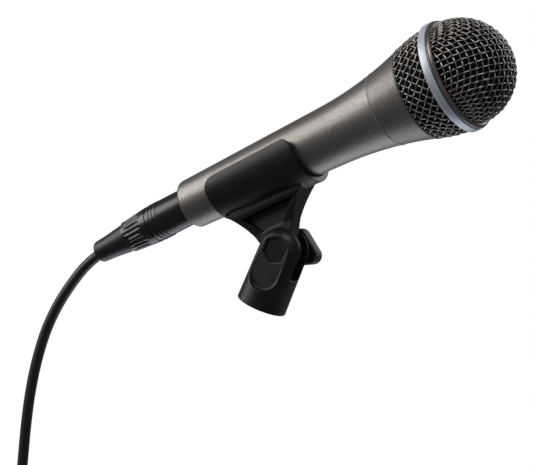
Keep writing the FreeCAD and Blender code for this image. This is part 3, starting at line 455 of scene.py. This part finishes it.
inner_plastic = new_finish("inner_plastic", (0.02, 0.021, 0.023), 0.5, grain=1200.0)
contact_metal = new_finish("contact_metal", (0.7, 0.68, 0.62), 0.25, metallic=1.0, grain=1000.0)
dark_steel = new_finish("dark_steel", (0.014, 0.014, 0.016), 0.42, metallic=0.5, grain=1200.0)
copper = new_finish("copper", (0.55, 0.22, 0.09), 0.32, metallic=0.9, grain=3000.0, relief=0.6)
tape_wrap = new_finish("tape_wrap", (0.68, 0.6, 0.25), 0.45, grain=500.0)
wire_cover = new_finish("wire_cover", (0.4, 0.03, 0.025), 0.45, grain=900.0)
paint(inner_plastic, "socket_insulator", "plug_insulator", "end_insulator")
paint(contact_metal, "socket_pins", "plug_contacts", "end_pins")
paint(steel, "socket_screw")
paint(dark_steel, "transformer_core")
paint(copper, "transformer_winding", "voice_coil")
paint(tape_wrap, "transformer_wrap")
paint(wire_cover, "output_wires", "capsule_wires", "plug_wires", "end_wires")

# ---- Capsule ------------------------------------------------------------------------------------
# The moving-coil motor: a magnet in a steel yoke, the coil on its thin domed film, and a perforated
# cap with a disc of felt, all in an aluminium housing that floats in a rubber mount.

magnet_metal = new_finish("magnet_metal", (0.42, 0.42, 0.43), 0.28, metallic=1.0, grain=700.0)
black_rubber = new_finish("black_rubber", (0.015, 0.015, 0.015), 0.7, grain=1800.0, relief=0.3,
                          specular=0.35)
white_film = new_finish("white_film", (0.75, 0.74, 0.7), 0.25, coat=0.3, grain=700.0)
felt_cloth = new_finish("felt_cloth", (0.03, 0.03, 0.032), 0.95, shade=0.5, grain=3500.0, relief=0.9,
                        specular=0.1)
paint(magnet_metal, "capsule_frame", "magnet_yoke", "magnet", "pole_piece")
paint(black_rubber, "shock_mount")
paint(white_film, "diaphragm")
paint(inner_plastic, "resonator_cap", "cavity_tube")
paint(felt_cloth, "front_felt")

# ---- Foam windscreen ----------------------------------------------------------------------------
# Open-celled black foam that lines the grille. Its surface is broken up by its cells, and it shows
# as the dark behind the wires.

foam = moulded("foam", "foam_windscreen", 0.55, 1)
CELL, CELL_DEPTH = 0.9, 0.22
facings = [Vector(normal.vector) for normal in foam.data.vertex_normals]
for corner, facing in zip(foam.data.vertices, facings):
    pit = noise.noise(corner.co / (CELL * MM))
    corner.co -= facing * (0.5 + 0.5 * pit) * CELL_DEPTH * MM
foam_cells = new_finish("foam_cells", (0.006, 0.006, 0.0065), 0.97, shade=0.6, grain=1400.0, relief=1.0,
                        specular=0.05)
fit(foam, "windscreen", "foam", foam_cells, "foam_windscreen")

# ---- Grille -------------------------------------------------------------------------------------
# Two pieces of woven steel wire, spot-welded to a turned collar behind and a cast ring in the
# middle. The collar screws onto the handle and is painted to match. The ring's front lip is dark.

turned_lines, lines_in, lines_out = new_group("turned_lines", [
    ("Vector", "Vector", None), ("Pitch", "Float", 0.3), ("Start", "Float", 117.2),
    ("End", "Float", 134.2)], [("Height", "Float")])
station = maths(turned_lines, "MULTIPLY", add_node(
    turned_lines, "SeparateXYZ", Vector=lines_in.outputs["Vector"]).outputs["Z"], 1000.0)
lathe_noise = add_node(turned_lines, "TexNoise", {"noise_dimensions": "1D"}, Scale=1.0, Detail=3.0,
                       W=maths(turned_lines, "DIVIDE", station, lines_in.outputs["Pitch"]))
past_start = maths(turned_lines, "GREATER_THAN", station, lines_in.outputs["Start"])
before_end = maths(turned_lines, "LESS_THAN", station, lines_in.outputs["End"])
inside = maths(turned_lines, "MULTIPLY", past_start, before_end)
turned_lines.links.new(maths(turned_lines, "MULTIPLY", lathe_noise.outputs[0], inside),
                       lines_out.inputs["Height"])


def add_turning(material, pitch, start, end, strength):
    """Cut fine lathe lines round a painted piece between two stations."""
    tree = material.node_tree
    skin, shader = tree.nodes["skin"], tree.nodes["Principled BSDF"]
    lines = tree.nodes.new("ShaderNodeGroup")
    lines.node_tree = turned_lines
    tree.links.new(skin.inputs["Vector"].links[0].from_socket, lines.inputs["Vector"])
    lines.inputs["Pitch"].default_value = pitch
    lines.inputs["Start"].default_value = start
    lines.inputs["End"].default_value = end
    cut = add_node(tree, "Bump", Strength=strength, Distance=0.00012, Height=lines.outputs["Height"],
                   Normal=skin.outputs["Normal"])
    tree.links.new(cut.outputs[0], shader.inputs["Normal"])


SEAM, COLLAR_END, SEAM_RADIUS = 116.95, 134.5, 18.48
COLLAR_TINT = 0.85
grille_paint = new_finish("grille_paint", [value * COLLAR_TINT for value in PAINT], 0.48, metallic=0.85,
                          coat=0.12, shade=0.06, spread=0.04, grain=2500.0, relief=0.08, place=MIC)
add_flake(grille_paint, 2300.0, 0.18)
add_turning(grille_paint, 0.62, SEAM + 0.45, COLLAR_END, 0.9)
paint(grille_paint, "grille_collar")
# The seam's rim is a real thin ridge. Its light colour is a painted highlight that draws the light line
# along the seam.
seam_painted_highlight = new_finish("seam_painted_highlight", (0.42, 0.40, 0.38), 0.42, metallic=0.6, grain=1500.0)
seam_edge = lathe("seam_edge", [(17.4, SEAM), (SEAM_RADIUS - 0.18, SEAM), (SEAM_RADIUS, SEAM + 0.15),
                                (SEAM_RADIUS - 0.06, SEAM + 0.35), (17.4, SEAM + 0.35)], MIC, steps=128)
fit(seam_edge, "grille", "grille_paint", seam_painted_highlight)

RING_BACK, RING_FRONT, RING_BORE, RING_PART = 150.9, 157.2, 24.5, 155.0
RING_OUTLINE = [(RING_BORE, RING_BACK), (25.9, RING_BACK), (26.55, 151.05), (26.9, 151.45), (27.0, 151.95),
                (27.0, 154.7), (26.88, 154.93), (26.2, RING_PART), (RING_BORE, RING_PART)]
LIP_OUTLINE = [(RING_BORE, RING_PART), (26.2, RING_PART), (26.2, 155.25), (26.72, 155.38), (26.76, 155.55),
               (26.7, 155.8), (26.5, 156.3), (25.9, 156.85), (25.5, 157.15), (RING_BORE, RING_FRONT)]
ring_metal = new_finish("ring_metal", (0.37, 0.40, 0.46), 0.42, metallic=0.3, coat=0.1, shade=0.04,
                        spread=0.04, grain=2500.0, relief=0.04, place=MIC)
ring = lathe("grille_band", RING_OUTLINE, MIC, steps=160, soften=0.08)
fit(ring, "grille", "ring_metal", ring_metal, "grille_ring")
lip_metal = new_finish("lip_metal", (0.16, 0.14, 0.13), 0.28, metallic=0.8, shade=0.08, grain=2500.0,
                       relief=0.05, place=MIC)
lip = lathe("grille_lip", LIP_OUTLINE, MIC, steps=160, soften=0.06)
fit(lip, "grille", "ring_metal", lip_metal)

WIRE, PITCH, SWING = 0.36, 3.0, 0.34
DOME, DOME_STATION = 24.70, RING_FRONT
QUARTERS = 4


def add_wires(name, lines, thickness):
    """Round wires along many lines, made one mesh."""
    curve = bpy.data.curves.new(name, "CURVE")
    curve.dimensions = "3D"
    curve.bevel_depth = thickness * MM
    curve.bevel_resolution = 1
    curve.use_fill_caps = True
    for line in lines:
        spline = curve.splines.new("POLY")
        spline.points.add(len(line) - 1)
        for knot, spot in zip(spline.points, line):
            knot.co = (*[value * MM for value in spot], 1)
    wires = bpy.data.objects.new(name, curve)
    bpy.context.collection.objects.link(wires)
    take(wires)
    bpy.ops.object.convert(target="MESH")
    wires = bpy.context.object
    wires.data.transform(MIC)
    bpy.ops.object.shade_smooth()
    return wires


# A square cloth pulled over a ball keeps its squares' sides and lets their corners shear. Each knot
# is the last one mirrored in the plane through the ball's centre and its two neighbours.
reach = 16
step_angle = 2 * math.asin(PITCH / 2 / DOME)
knots = {(0, 0): Vector((0, 0, 1))}
for index in range(1, reach + 1):
    turn = step_angle * index
    knots[index, 0] = Vector((math.sin(turn), 0, math.cos(turn)))
    knots[0, index] = Vector((0, math.sin(turn), math.cos(turn)))
for row in range(reach):
    for column in range(reach):
        across = knots[row + 1, column].cross(knots[row, column + 1])
        if across.length < 0.02:
            across = Vector((0, 0, 1)).cross(knots[row, column])
        across.normalize()
        last = knots[row, column]
        knots[row + 1, column + 1] = last - across * 2 * last.dot(across)


def knot_at(row, column):
    spot = knots[abs(row), abs(column)]
    return Vector((math.copysign(spot.x, row) if row else spot.x, math.copysign(spot.y, column) if column
                   else spot.y, spot.z))


def dome_wire(fixed, flip):
    """One wire over the dome, rising and dipping at each crossing, cut off where it meets the ring."""
    line = []
    for index in range(-reach, reach):
        pair = [(fixed, index), (fixed, index + 1)] if not flip else [(index, fixed), (index + 1, fixed)]
        start, stop = knot_at(*pair[0]), knot_at(*pair[1])
        rise = SWING if (fixed + index + flip) % 2 else -SWING
        for quarter in range(QUARTERS):
            share = quarter / QUARTERS
            spot = start.lerp(stop, share).normalized()
            if spot.z < -0.012:
                continue
            radius = DOME + rise * math.cos(math.pi * share)
            line.append((spot.x * radius, spot.y * radius, DOME_STATION + spot.z * radius))
    return line


# A wire folds back past the rim at the cloth's corners, so only its longest unbroken stretch counts.
def longest(line):
    runs = [[line[0]]]
    for before, after in zip(line, line[1:]):
        if (Vector(after) - Vector(before)).length > PITCH:
            runs.append([])
        runs[-1].append(after)
    return max(runs, key=len)


dome_lines = []
for flip in (0, 1):
    for fixed in range(-reach, reach + 1):
        line = dome_wire(fixed, flip)
        if len(line) > 3:
            dome_lines.append(longest(line))
wire_steel = new_finish("wire_steel", (0.23, 0.212, 0.20), 0.30, metallic=0.95, coat=0.0, shade=0.25,
                        spread=0.08, grain=1800.0, relief=0.1, place=MIC)
dome = add_wires("dome_wires", dome_lines, WIRE)
fit(dome, "grille", "grille_paint", wire_steel, "grille_front_mesh")

BAND_LOW, BAND_HIGH = (22.25, COLLAR_END), (25.35, RING_BACK + 0.05)
BAND_BEND = 47.8
BAND_WIRES = 36


def band_radius(station):
    """The rear band's radius: a shallow barrel between the collar and the ring."""
    share = (station - BAND_LOW[1]) / (BAND_HIGH[1] - BAND_LOW[1])
    chord = math.hypot(BAND_HIGH[0] - BAND_LOW[0], BAND_HIGH[1] - BAND_LOW[1])
    bulge = (chord ** 2) * share * (1 - share) / 2 / BAND_BEND
    return BAND_LOW[0] + (BAND_HIGH[0] - BAND_LOW[0]) * share + bulge


band_lines = []
MEAN_RADIUS = 24.6
crossing = math.pi * MEAN_RADIUS / BAND_WIRES
BAND_STEPS = 32
for side in (1, -1):
    for wire in range(BAND_WIRES):
        line = []
        for step in range(BAND_STEPS + 1):
            station = BAND_LOW[1] + (BAND_HIGH[1] - BAND_LOW[1]) * step / BAND_STEPS
            turn = math.tau * wire / BAND_WIRES + side * (station - BAND_LOW[1]) / MEAN_RADIUS
            wave = side * SWING * math.cos(math.pi * (station - BAND_LOW[1]) / crossing)
            radius = band_radius(station) - WIRE / 2 + wave
            line.append((radius * math.cos(turn), radius * math.sin(turn), station))
        band_lines.append(line)
band = add_wires("band_wires", band_lines, WIRE)
fit(band, "grille", "grille_paint", wire_steel, "grille_rear_mesh")

crimp = lathe("collar_crimp", [(21.2, 133.9), (22.72, 134.2), (23.0, 134.75), (22.9, 135.15), (22.3, 135.3),
                               (21.2, 135.2)], MIC, steps=128, soften=0.06)
fit(crimp, "grille", "grille_paint", grille_paint)

# ---- Cable plug ---------------------------------------------------------------------------------
# A die-cast shell lacquered black, with three ribs at its back and a window for the latch button.
# A fluted collar screws into it and squeezes the chuck, and the boot is moulded onto the collar.

PLUG_AXIS = -Vector(joints["plug_pull"]["axis"])
PLUG_SEAT = 7 * MM
PLUG = along(PLUG_AXIS, MIC @ Vector((0, 0, PLUG_SEAT)) - PLUG_AXIS * PLUG_SEAT)
SHELL_BORE, SHELL_SKIN, SHELL_TAIL, SHELL_NOSE = 7.7, 9.1, -22.5, 14
RIB_START, RIB_PITCH = 1.5, 2.1
RIB_OUTLINE = [(0, 0), (0.32, 0.12), (0.35, 0.65), (0.32, 1.18), (0, 1.3)]
shell_back = [(SHELL_BORE, SHELL_TAIL), (SHELL_SKIN, SHELL_TAIL)]
for rib in range(3):
    foot = SHELL_TAIL + RIB_START + RIB_PITCH * rib
    shell_back += [(SHELL_SKIN + height, foot + width) for height, width in RIB_OUTLINE]

plug_metal = new_finish("plug_metal", (0.006, 0.0063, 0.0078), 0.27, metallic=0.0, coat=0.05, shade=0.1,
                        spread=0.06, grain=900.0, relief=0.06, specular=0.34)
boot_rubber = new_finish("boot_rubber", (0.0065, 0.0068, 0.0085), 0.42, shade=0.15, grain=2400.0,
                         relief=0.12, specular=0.28)

shell = lathe("plug_barrel", [*shell_back, (SHELL_SKIN, SHELL_NOSE), (SHELL_BORE, SHELL_NOSE)],
              Matrix.Identity(4), steps=128, soften=0.1)
WINDOW_LOW, WINDOW_HIGH, WINDOW_HALF, WINDOW_ROUND = -15, -3, 4, 1.4
WINDOW_DEPTH, WINDOW_REACH = 8, 9
bpy.ops.object.select_all(action="DESELECT")
bpy.ops.mesh.primitive_cube_add(size=1)
window = bpy.context.object
window_size = Vector((WINDOW_DEPTH, 2 * WINDOW_HALF, WINDOW_HIGH - WINDOW_LOW)) * MM
window.data.transform(Matrix.Diagonal((*window_size, 1)))
window.data.transform(Matrix.Translation((-WINDOW_REACH * MM, 0, (WINDOW_LOW + WINDOW_HIGH) / 2 * MM)))
take(window)
bpy.ops.object.mode_set(mode="EDIT")
bpy.ops.mesh.select_mode(type="EDGE")
bpy.ops.mesh.select_all(action="DESELECT")
bpy.ops.object.mode_set(mode="OBJECT")
for edge in window.data.edges:
    first, second = [window.data.vertices[spot].co for spot in edge.vertices]
    edge.select = abs(first.y - second.y) < 1e-6 and abs(first.z - second.z) < 1e-6
bpy.ops.object.mode_set(mode="EDIT")
bpy.ops.mesh.bevel(offset=WINDOW_ROUND * MM, segments=5, affect="EDGES")
bpy.ops.object.mode_set(mode="OBJECT")
add_modifier(shell, "BOOLEAN", operation="DIFFERENCE", solver="EXACT", object=window)
bpy.data.objects.remove(window)
shell.data.transform(PLUG)
take(shell)
bpy.ops.object.shade_smooth_by_angle(angle=math.radians(30))
fit(shell, "plug", "plug_metal", plug_metal, "plug_shell")
paint(plug_metal, "latch_button")
paint(inner_plastic, "plug_chuck", "end_chuck")

COLLAR_FRONT, COLLAR_MIDDLE, COLLAR_BACK = (9.35, -22.7), (8.8, -30), (7.95, -38.7)
FRONT_TAPER, BACK_TAPER = 0.0753, 0.0977
FLUTES, FLUTE_STEPS, FLUTE_DEPTH, FLUTE_FLOOR = 20, 8, 0.55, 7.6
FLUTE_START, FLUTE_END, FLUTE_ROWS, ROW_STEP = -26.2, -37.2, 19, 0.6
collar_skin = [COLLAR_FRONT, (9.29, -23.5), (9.22, -24.5), (9.14, -25.5)]
for row in range(FLUTE_ROWS):
    station = FLUTE_START - ROW_STEP * row
    taper = FRONT_TAPER if station > COLLAR_MIDDLE[1] else BACK_TAPER
    collar_skin.append((COLLAR_MIDDLE[0] + (station - COLLAR_MIDDLE[1]) * taper, station))
collar_skin += [(8.02, -38.0), COLLAR_BACK]


def fluted_collar(name, place, body, *nodes):
    """The clamping collar, with long thumb flutes pressed into its skin."""
    outline = [(7.3, COLLAR_FRONT[1]), *collar_skin, (6.2, COLLAR_BACK[1]), (6.2, -36)]
    piece = lathe(name, outline, Matrix.Identity(4), steps=FLUTES * FLUTE_STEPS)
    for corner in piece.data.vertices:
        reach, station = corner.co.xy.length / MM, corner.co.z / MM
        if reach < FLUTE_FLOOR or not FLUTE_END < station < FLUTE_START:
            continue
        along_flute = (station - FLUTE_END) / (FLUTE_START - FLUTE_END)
        ends = min(1.0, 4 * along_flute, 4 * (1 - along_flute))
        across_flute = max(0.0, math.cos(FLUTES * math.atan2(corner.co.y, corner.co.x)) + 0.15) / 1.15
        cut = FLUTE_DEPTH * math.sqrt(ends) * across_flute
        corner.co.xy *= 1 - cut / reach
    piece.data.transform(place)
    take(piece)
    bpy.ops.object.shade_smooth_by_angle(angle=math.radians(40))
    fit(piece, body, "plug_metal", plug_metal, *nodes)
    return piece


BOOT_BORE, BOOT_FRONT, BOOT_BACK = 2.78, -38.9, -59
BOOT = [(BOOT_BORE, BOOT_BACK), (3.95, BOOT_BACK), (4.6, -58.86), (5.1, -58.5), (5.42, -58.0),
        (5.55, -57.4), (5.78, -54.0), (6.1, -50), (6.62, -45.6), (7.34, -39.2), (7.28, -38.95),
        (7.1, BOOT_FRONT), (BOOT_BORE, BOOT_FRONT)]


def moulded_boot(name, place, body, *nodes):
    """The rubber strain relief behind a collar, with its mouth rounded over."""
    piece = lathe(name, BOOT, place, steps=96, soften=0.08)
    fit(piece, body, "boot_rubber", boot_rubber, *nodes)
    return piece


fluted_collar("plug_clamp", PLUG, "plug", "plug_collar")
moulded_boot("plug_relief", PLUG, "plug", "plug_boot")

# ---- Far plug -----------------------------------------------------------------------------------
# The cord's other end: the same collar and boot behind a male shell, whose three pins stand inside
# an open nose. It hangs straight down from the coil.

END_NOSE, END_SKIN, END_BORE = 20, 9.5, 8.2
END_LOW, END_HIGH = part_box("end_shell")
END_PLACE = ((END_LOW.x + END_HIGH.x) / 2, 0, END_LOW.z + END_NOSE * MM)
END = Matrix.Translation(END_PLACE) @ Matrix.Rotation(math.pi, 4, "X")
male_shell = lathe("far_barrel", [*shell_back, (SHELL_SKIN, -2), (END_SKIN, -0.6), (END_SKIN, END_NOSE),
                                  (END_BORE, END_NOSE), (END_BORE, 0), (SHELL_BORE, -0.4)],
                   END, steps=128, soften=0.12)
fit(male_shell, "plug", "plug_metal", plug_metal, "end_shell")
far_collar = fluted_collar("far_clamp", END, "plug", "end_collar")
far_boot = moulded_boot("far_relief", END, "plug", "end_boot")

# ---- Cord ---------------------------------------------------------------------------------------
# A round rubber-jacketed lead of the two metre size. It droops from the boot, runs down into a neat
# coil of nine turns under a strap, and leaves the coil straight down into the far plug.

CORD_WIDTH = 5.44
ROUTE = [(-82.3, 29.9), (-97.9, 23.2), (-114.6, 5.6), (-125.2, -10.3), (-132.0, -26.8), (-136.9, -45.2),
         (-139.9, -64.0), (-142.0, -84.0), (-143.6, -97.0)]
COIL_CENTRE, COIL_RADIUS = (-124.5, -133.5), 32.5
LAYER_OUT, LAYER_SIDE = 4.72, 5.45
LAYERS = [(LAYER_OUT, -LAYER_SIDE), (LAYER_OUT, 0), (LAYER_OUT, LAYER_SIDE), (0, 8.15), (0, 2.72),
          (0, -2.72), (0, -8.15), (-LAYER_OUT, -LAYER_SIDE), (-LAYER_OUT, 0), (-LAYER_OUT, LAYER_SIDE)]
TURN_START, TURN_STEP, LAP = 157.5, 22.5, 15
COIL_STEPS = 145

cord_points = [(across, 0.0, up) for across, up in ROUTE]
for step in range(COIL_STEPS + 1):
    out, side = LAYERS[step // LAP]
    angle = math.radians(TURN_START + TURN_STEP * step)
    cord_points.append((COIL_CENTRE[0] + (COIL_RADIUS + out) * math.cos(angle), side,
                        COIL_CENTRE[1] + (COIL_RADIUS + out) * math.sin(angle)))
TAIL_X = COIL_CENTRE[0] - COIL_RADIUS
cord_points += [(TAIL_X + 2.6, 3.2, -145.5), (TAIL_X + 0.6, 0.9, -157), (TAIL_X, 0.0, -168),
                (TAIL_X, 0.0, -178), (TAIL_X, 0.0, -187.5)]

cord_curve = bpy.data.curves.new("cord", "CURVE")
cord_curve.dimensions = "3D"
cord_spline = cord_curve.splines.new("NURBS")
cord_spline.points.add(len(cord_points) - 1)
for knot, spot in zip(cord_spline.points, cord_points):
    knot.co = (*[value * MM for value in spot], 1)
cord_spline.order_u = 3
cord_spline.use_endpoint_u = True
cord_spline.resolution_u = 6
cord_curve.bevel_depth = CORD_WIDTH / 2 * MM
cord_curve.bevel_resolution = 4
cord_curve.use_fill_caps = True
cord = bpy.data.objects.new("cord", cord_curve)
bpy.context.collection.objects.link(cord)
cord_rubber = new_finish("cord_rubber", (0.0060, 0.0060, 0.0070), 0.42, shade=0.2, spread=0.08,
                         grain=1800.0, relief=0.12, specular=0.34)
fit(cord, "plug", "cord_rubber", cord_rubber, "cord_tube", "cord_coil", "cord_tail")
paint(cord_rubber, "plug_cord_end", "end_cord_end")

# ---- Strap --------------------------------------------------------------------------------------
# A hook-and-loop strap of woven nylon, wrapped once round the coil's turns and pressed onto its own
# start. It lies flatter than round, because the bundle of turns is wider than it is deep.

STRAP_START, STRAP_SWEEP = 84.6, 18.8
STRAP_IN, STRAP_FLAT, STRAP_THICK, STRAP_RISE, STRAP_POWER = 11.12, 3.2, 0.55, 0.64, 2 / 3
WRAP_START, WRAP_SWEEP = -20, 400
ROUND_STEPS, WIDE_STEPS = 84, 8
corners, faces = [], []
for turn in range(ROUND_STEPS + 1):
    around = math.radians(WRAP_START + WRAP_SWEEP * turn / ROUND_STEPS)
    layer = STRAP_IN + STRAP_RISE * turn / ROUND_STEPS * WRAP_SWEEP / 360
    out = math.copysign(abs(math.cos(around)) ** STRAP_POWER, math.cos(around)) * (layer - STRAP_FLAT)
    side = math.copysign(abs(math.sin(around)) ** STRAP_POWER, math.sin(around)) * layer
    for width in range(WIDE_STEPS + 1):
        angle = math.radians(STRAP_START + STRAP_SWEEP * width / WIDE_STEPS)
        reach = COIL_RADIUS + out
        corners.append((COIL_CENTRE[0] + reach * math.cos(angle), side,
                        COIL_CENTRE[1] + reach * math.sin(angle)))
for turn in range(ROUND_STEPS):
    for width in range(WIDE_STEPS):
        foot = turn * (WIDE_STEPS + 1) + width
        faces.append((foot, foot + 1, foot + WIDE_STEPS + 2, foot + WIDE_STEPS + 1))
strap = new_mesh("strap", corners, faces)
coil_middle = Vector((COIL_CENTRE[0] * MM, 0, COIL_CENTRE[1] * MM))
faces_out = strap.data.polygons[0].normal.dot(strap.data.vertices[0].co - coil_middle) > 0
add_modifier(strap, "SOLIDIFY", thickness=STRAP_THICK * MM, offset=1.0 if faces_out else -1.0)
add_modifier(strap, "BEVEL", width=0.12 * MM, segments=2, limit_method="ANGLE",
             angle_limit=math.radians(40))
take(strap)
bpy.ops.object.shade_smooth_by_angle(angle=math.radians(50))

weave, weave_in, weave_out = new_group("weave", [("Vector", "Vector", None), ("Threads", "Float", 1400.0)],
                                       [("Height", "Float")])
threads = []
for direction in ("X", "Z"):
    bands = add_node(weave, "TexWave", {"wave_type": "BANDS", "bands_direction": direction},
                     Vector=weave_in.outputs["Vector"], Scale=weave_in.outputs["Threads"])
    threads.append(bands.outputs[1])
weave.links.new(maths(weave, "MAXIMUM", *threads), weave_out.inputs["Height"])
tie_fabric = new_finish("tie_fabric", (0.015, 0.016, 0.02), 0.85, shade=0.3, grain=3000.0, relief=0.5,
                        specular=0.2)
tie_tree = tie_fabric.node_tree
cloth = tie_tree.nodes.new("ShaderNodeGroup")
cloth.node_tree = weave
tie_tree.links.new(tie_tree.nodes["skin"].inputs["Vector"].links[0].from_socket, cloth.inputs["Vector"])
cloth.inputs["Threads"].default_value = 700.0
cloth_relief = add_node(tie_tree, "Bump", Strength=0.7, Distance=0.0002, Height=cloth.outputs["Height"],
                        Normal=tie_tree.nodes["skin"].outputs["Normal"])
tie_tree.links.new(cloth_relief.outputs[0], tie_tree.nodes["Principled BSDF"].inputs["Normal"])
fit(strap, "plug", "tie_fabric", tie_fabric, "cord_tie")
